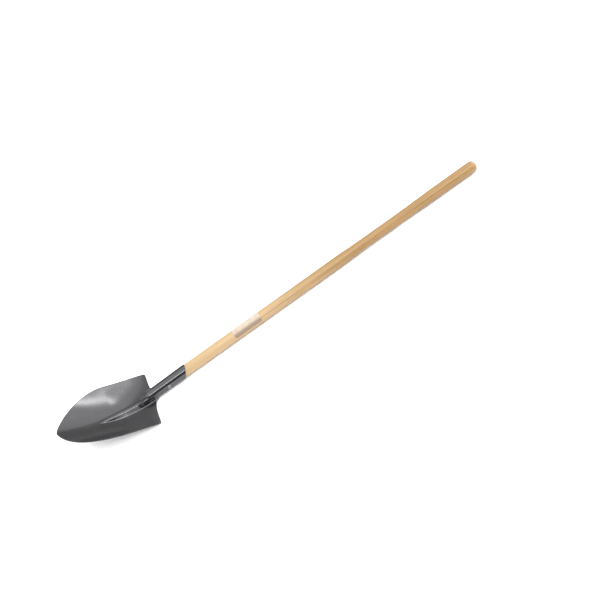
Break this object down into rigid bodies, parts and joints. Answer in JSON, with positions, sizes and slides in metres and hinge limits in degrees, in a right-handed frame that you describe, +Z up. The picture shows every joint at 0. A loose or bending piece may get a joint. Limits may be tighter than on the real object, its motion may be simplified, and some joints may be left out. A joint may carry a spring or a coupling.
{
  "type": "round point shovel",
  "caption": "Long-handled round point digging shovel: dished steel blade with a raised frog and rolled socket, riveted to a straight wooden handle.",
  "frame": {"origin": "on the floor at the middle of the shovel's footprint, lying face up", "axes": "+X along the handle from the blade to the free end, +Y to the side across the blade, +Z up out of the blade's face"},
  "size_m": [1.3986, 0.2278, 0.105],
  "materials": {
    "painted_steel": "dark grey baked enamel, semi-gloss",
    "ash_wood": "clear varnish over straight-grained ash",
    "rivet_steel": "plain bright steel, slightly worn",
    "paper_label": "thin faded paper sticker, no print"
  },
  "bodies": {
    "root": {"head": "painted_steel", "handle": "ash_wood", "rivet": "rivet_steel", "label": "paper_label"}
  },
  "joints": []
}
